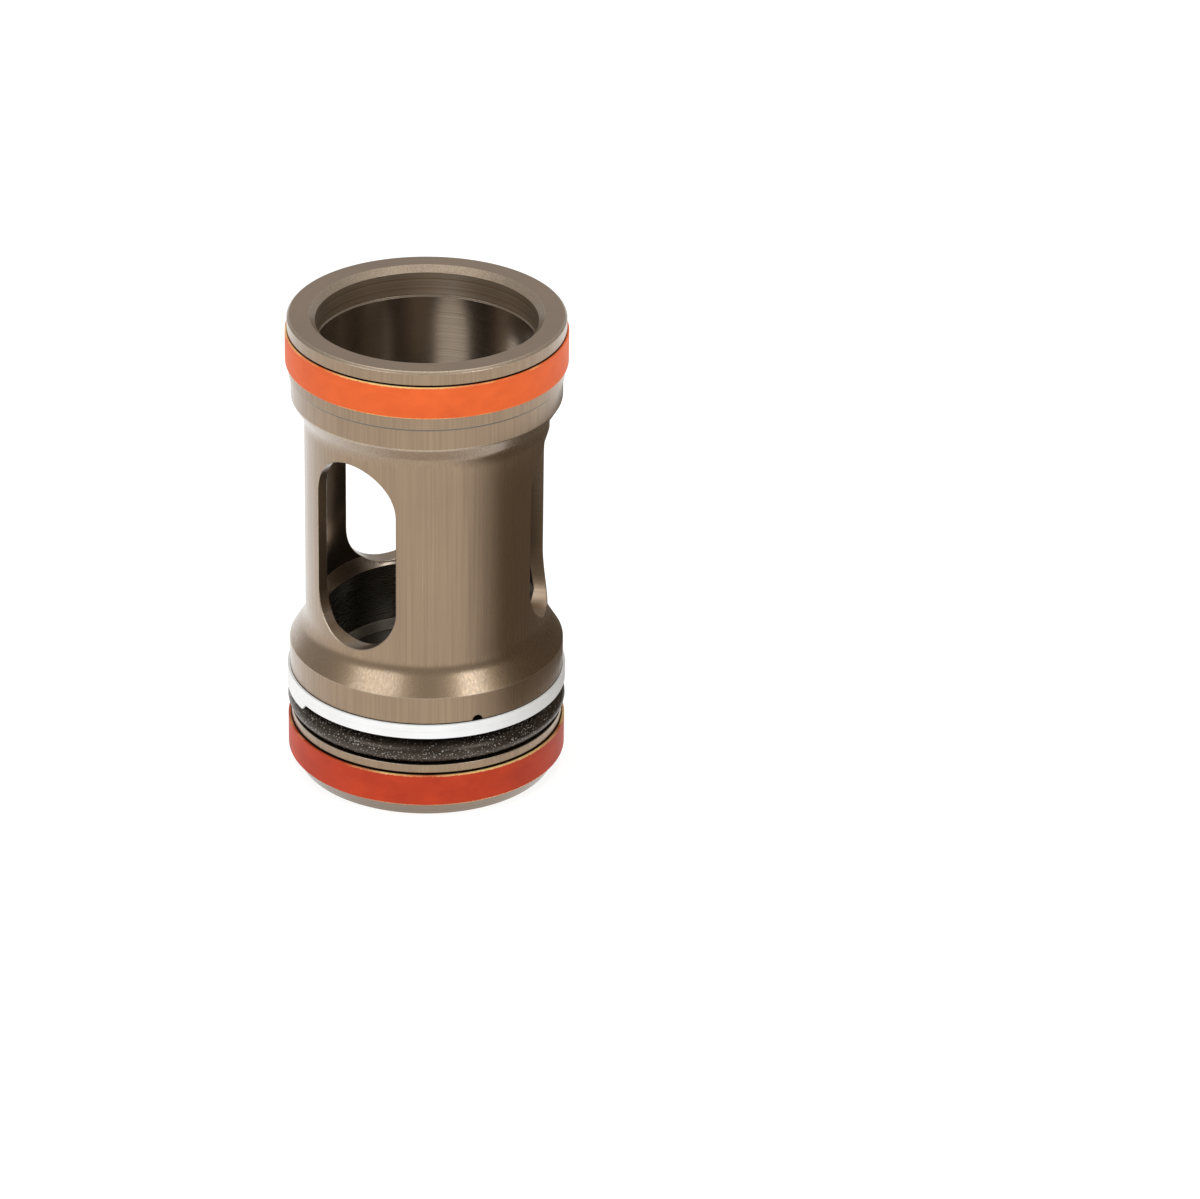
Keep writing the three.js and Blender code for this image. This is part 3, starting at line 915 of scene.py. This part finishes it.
link(split.outputs["Z"], away.inputs[0])
flash = add_node(moulding, "ShaderNodeMapRange", interpolation_type="SMOOTHSTEP")
link(away.outputs[0], flash.inputs["Value"])
link(given.outputs["Flash width"], flash.inputs["From Min"])
flash.inputs["From Max"].default_value = 0.0
flash.inputs["To Min"].default_value = 0.0
link(given.outputs["Flash height"], flash.inputs["To Max"])
normal = add_node(moulding, "GeometryNodeInputNormal")
push = add_node(moulding, "ShaderNodeVectorMath", operation="SCALE")
link(normal.outputs[0], push.inputs[0])
link(flash.outputs["Result"], push.inputs["Scale"])
lift = add_node(moulding, "ShaderNodeCombineXYZ")
link(given.outputs["Height"], lift.inputs["Z"])
both = add_node(moulding, "ShaderNodeVectorMath", operation="ADD")
link(push.outputs[0], both.inputs[0])
link(lift.outputs[0], both.inputs[1])
oval = add_node(moulding, "ShaderNodeCombineXYZ")
oval.inputs["X"].default_value = oval.inputs["Y"].default_value = 1.0
link(given.outputs["Pressed to"], oval.inputs["Z"])
pressed = add_node(moulding, "GeometryNodeTransform")
link(swept.outputs[0], pressed.inputs["Geometry"])
link(oval.outputs[0], pressed.inputs["Scale"])
moved = add_node(moulding, "GeometryNodeSetPosition")
link(pressed.outputs[0], moved.inputs["Geometry"])
link(both.outputs[0], moved.inputs["Offset"])
realised = add_node(moulding, "GeometryNodeRealizeInstances")
link(moved.outputs[0], realised.inputs[0])
paint = add_node(moulding, "GeometryNodeSetMaterial")
paint.inputs["Material"].default_value = rubber("black_nitrile")
link(realised.outputs[0], paint.inputs["Geometry"])
link(paint.outputs[0], result.inputs[0])

o_ring = run_tree(make_piece("rubber_o_ring", [], []), moulding,
                  Ring_radius=O_RING_CENTRE_RADIUS * MM, Section_radius=O_RING_HALF_WIDTH * MM,
                  Pressed_to=O_RING_HALF_HEIGHT / O_RING_HALF_WIDTH, Height=O_RING_CENTRE_HEIGHT * MM,
                  Flash_width=FLASH_WIDTH * MM, Flash_height=FLASH_HEIGHT * MM)
face_outwards(o_ring)
smooth_by_angle(o_ring, O_RING_SMOOTH_DEGREES)
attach(o_ring, "sleeve")
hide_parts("o_ring")
print("o-ring faces:", len(o_ring.data.polygons))

# %% [markdown]
# ## The spiral backup ring
#
# A white fluoropolymer strip is wound two and a quarter times around, like a key ring, and stops the
# O-ring from being pushed into the gap beside the sleeve. The strip runs level and climbs by one layer
# once in each turn. Three layers lie above one another between its ends, and two elsewhere, so the
# lower end shows as a step. Its section is swept along that path, and its ends are cut on a slant.
# Inside the collar its faces get a painted shade, near black, for the shade under the collar and in the bleed
# hole.

# %% White strip
BACKUP_INNER, BACKUP_OUTER, BACKUP_FLOOR, BACKUP_TOP = 20.4, 25.4, 15.17, 19.2
BACKUP_LAYERS, BACKUP_PLAY, BACKUP_EDGE = 3, 0.012, 0.03
BACKUP_END_AT = math.radians(-113)
BACKUP_WINDING = math.radians(815)
BACKUP_CLIMB_FROM, BACKUP_CLIMB_OVER = math.radians(100), math.radians(20)
BACKUP_STEP = math.radians(1.25)
BACKUP_END_SLANT = math.radians(45)


def white_strip(name):
    material, tree, shader = start_finish(name, Specular_IOR_Level=0.3)
    wax = stretched_noise(tree, (160, 160, 260), detail=4)
    white = mix_colours(tree, spread(tree, wax, 0.3, 0.7), (0.86, 0.85, 0.83), (0.92, 0.91, 0.895))
    # Painted shade: inside the collar's radius the strip turns near black.
    unshaded = outside_of(tree, COLLAR_RADIUS)
    tree.links.new(mix_colours(tree, unshaded, PAINTED_SHADE, white), shader.inputs["Base Color"])
    tree.links.new(spread(tree, wax, 0.3, 0.7, 0.5, 0.62), shader.inputs["Roughness"])
    skived = stretched_noise(tree, (60, 60, 900), detail=2)
    tree.links.new(bump(tree, skived, 0.000012, 0.25), shader.inputs["Normal"])
    return material


strip_thickness = (BACKUP_TOP - BACKUP_FLOOR - (BACKUP_LAYERS - 1) * BACKUP_PLAY) / BACKUP_LAYERS
strip_climb = strip_thickness + BACKUP_PLAY
stations = []
station_count = round(BACKUP_WINDING / BACKUP_STEP)
for number in range(station_count + 1):
    wound = BACKUP_WINDING * number / station_count
    layer = 0.0
    for turn in range(BACKUP_LAYERS - 1):
        layer += min(1.0, max(0.0, (wound - BACKUP_CLIMB_FROM - 2 * math.pi * turn) / BACKUP_CLIMB_OVER))
    low = BACKUP_FLOOR + strip_climb * layer
    corners = [
        (BACKUP_INNER, low, BACKUP_EDGE, "edge"),
        (BACKUP_OUTER, low, BACKUP_EDGE, "edge"),
        (BACKUP_OUTER, low + strip_thickness, BACKUP_EDGE, "edge"),
        (BACKUP_INNER, low + strip_thickness, BACKUP_EDGE, "edge"),
    ]
    stations.append((BACKUP_END_AT - wound, round_corners(corners)[0]))
tip_height = BACKUP_FLOOR + strip_thickness / 2
backup_strip = sweep_sections(
    "backup_strip", stations,
    lambda height: (tip_height - height) * math.tan(BACKUP_END_SLANT) / BACKUP_OUTER)
backup_strip.data.materials.append(white_strip("white_fluoropolymer_strip"))
smooth_by_angle(backup_strip)
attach(backup_strip, "backup")
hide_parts("backup_ring")
print("backup strip faces:", len(backup_strip.data.polygons))

# %% [markdown]
# ## The studio
#
# Metal shows its surroundings more than itself. A wide pale floor that glows like a light table fills
# the lower half of what the sleeve mirrors. Two softboxes stand to the left and right of the camera, a
# little above it, and give the two soft patches on the lower taper. The surroundings are dim and even.

# %% Floor
FLOOR_HALF, FLOOR_DROP = 3.0, -0.02


def floor_plane():
    half, height = FLOOR_HALF, FLOOR_DROP * MM
    corners = [(-half, -half, height), (half, -half, height), (half, half, height), (-half, half, height)]
    mesh = bpy.data.meshes.new("floor")
    mesh.from_pydata(corners, [], [(0, 1, 2, 3)])
    made = add_object("floor", mesh)
    material, _, _ = start_finish("pale_floor", Base_Color=(0.3, 0.3, 0.3, 1), Roughness=0.8,
                                  Specular_IOR_Level=0.05, Emission_Color=(1, 1, 0.995, 1),
                                  Emission_Strength=0.84)
    mesh.materials.append(material)


floor_plane()

# %% [markdown]
# The camera looks at the sleeve's foot from 27 degrees above, with a long lens and a slight roll. It is
# placed from its distance and from where the foot lies beside the middle of the frame.

# %% Camera
CAMERA_LENS = 178.3
CAMERA_DISTANCE = 1.098
CAMERA_RISE = math.radians(27.37)
CAMERA_ROLL = math.radians(0.949)
CAMERA_TURN = math.radians(36.57)
FOOT_RIGHT, FOOT_UP = -0.03207, -0.02806

forward = Vector((0, math.cos(CAMERA_RISE), -math.sin(CAMERA_RISE)))
level_right = Vector((1, 0, 0))
level_up = level_right.cross(forward)
right = math.cos(CAMERA_ROLL) * level_right + math.sin(CAMERA_ROLL) * level_up
up = -math.sin(CAMERA_ROLL) * level_right + math.cos(CAMERA_ROLL) * level_up
stand = -(FOOT_RIGHT * right + FOOT_UP * up + CAMERA_DISTANCE * forward)
placement = Matrix.Identity(4)
for row in range(3):
    placement[row][0], placement[row][1], placement[row][2] = right[row], up[row], -forward[row]
    placement[row][3] = stand[row]
camera_data = bpy.data.cameras.new("camera")
camera_data.lens = CAMERA_LENS
camera_data.sensor_width = 36
camera_data.clip_start = 0.05
camera = bpy.data.objects.new("camera", camera_data)
camera.matrix_world = Matrix.Rotation(CAMERA_TURN, 4, "Z") @ placement
bpy.context.scene.collection.objects.link(camera)
bpy.context.scene.camera = camera
CAMERA_BEARING = math.atan2(camera.matrix_world.translation.y, camera.matrix_world.translation.x)
print("camera bearing %.1f degrees" % math.degrees(CAMERA_BEARING))

# %% [markdown]
# A dark card beside shiny metal gives its far side some depth. This one curves around the right side,
# and fades in from its near end. The camera doesn't see it and it casts no shadow: it only darkens what
# the sleeve mirrors.

# %% Dark card
CARD_BEARINGS = (24, 165)
CARD_FADE = 34
CARD_DISTANCE, CARD_HEIGHT, CARD_STEPS = 0.050, 0.058, 48


def dark_card():
    points, faces, shares = [], [], []
    for step in range(CARD_STEPS + 1):
        bearing = CARD_BEARINGS[0] + (CARD_BEARINGS[1] - CARD_BEARINGS[0]) * step / CARD_STEPS
        angle = CAMERA_BEARING + math.radians(bearing)
        for height in (0.0, CARD_HEIGHT):
            points.append((CARD_DISTANCE * math.cos(angle), CARD_DISTANCE * math.sin(angle), height))
            shares.append(min(1.0, (bearing - CARD_BEARINGS[0]) / CARD_FADE))
    for step in range(CARD_STEPS):
        faces.append((2 * step, 2 * step + 2, 2 * step + 3, 2 * step + 1))
    mesh = bpy.data.meshes.new("dark_card")
    mesh.from_pydata(points, [], faces)
    mesh.attributes.new("share", "FLOAT", "POINT").data.foreach_set("value", shares)
    made = add_object("dark_card", mesh)
    material, tree, shader = start_finish(
        "card_black", Base_Color=(0.19, 0.155, 0.115, 1), Roughness=0.9, Specular_IOR_Level=0.1)
    share = add_node(tree, "ShaderNodeAttribute", attribute_name="share")
    tree.links.new(share.outputs["Fac"], shader.inputs["Alpha"])
    mesh.materials.append(material)
    made.visible_camera = False
    made.visible_shadow = False


dark_card()

# %% [markdown]
# Each light is placed by its bearing from the camera, its height angle and its distance, and turned to
# face the middle of the sleeve.

# %% Lights
def softbox(name, bearing, rise, distance, width, height, power, colour=(1, 1, 1)):
    light = bpy.data.lights.new(name, "AREA")
    light.shape = "RECTANGLE"
    light.size, light.size_y = width, height
    light.energy = power
    light.color = colour
    made = add_object(name, light)
    turned = CAMERA_BEARING + math.radians(bearing)
    lifted = math.radians(rise)
    place = Vector((math.cos(turned) * math.cos(lifted), math.sin(turned) * math.cos(lifted),
                    math.sin(lifted)))
    target = Vector((0, 0, HEIGHT * MM / 2))
    made.location = target + place * distance
    made.rotation_euler = (target - made.location).to_track_quat("-Z", "Y").to_euler()


COOL_WHITE = (0.88, 0.95, 1.0)
softbox("left_softbox", -46, 34, 1.2, 0.80, 0.5, 3.6, COOL_WHITE)
softbox("right_softbox", 43, 34, 1.2, 0.42, 0.46, 3.6, COOL_WHITE)
softbox("overhead", 180, 80, 1.3, 1.2, 1.2, 9.0)

world = bpy.data.worlds.new("surroundings")
world.use_nodes = True
world.node_tree.nodes["Background"].inputs["Color"].default_value = (1, 0.99, 0.975, 1)
world.node_tree.nodes["Background"].inputs["Strength"].default_value = 0.5
bpy.context.scene.world = world
bpy.context.scene.view_settings.view_transform = "Standard"
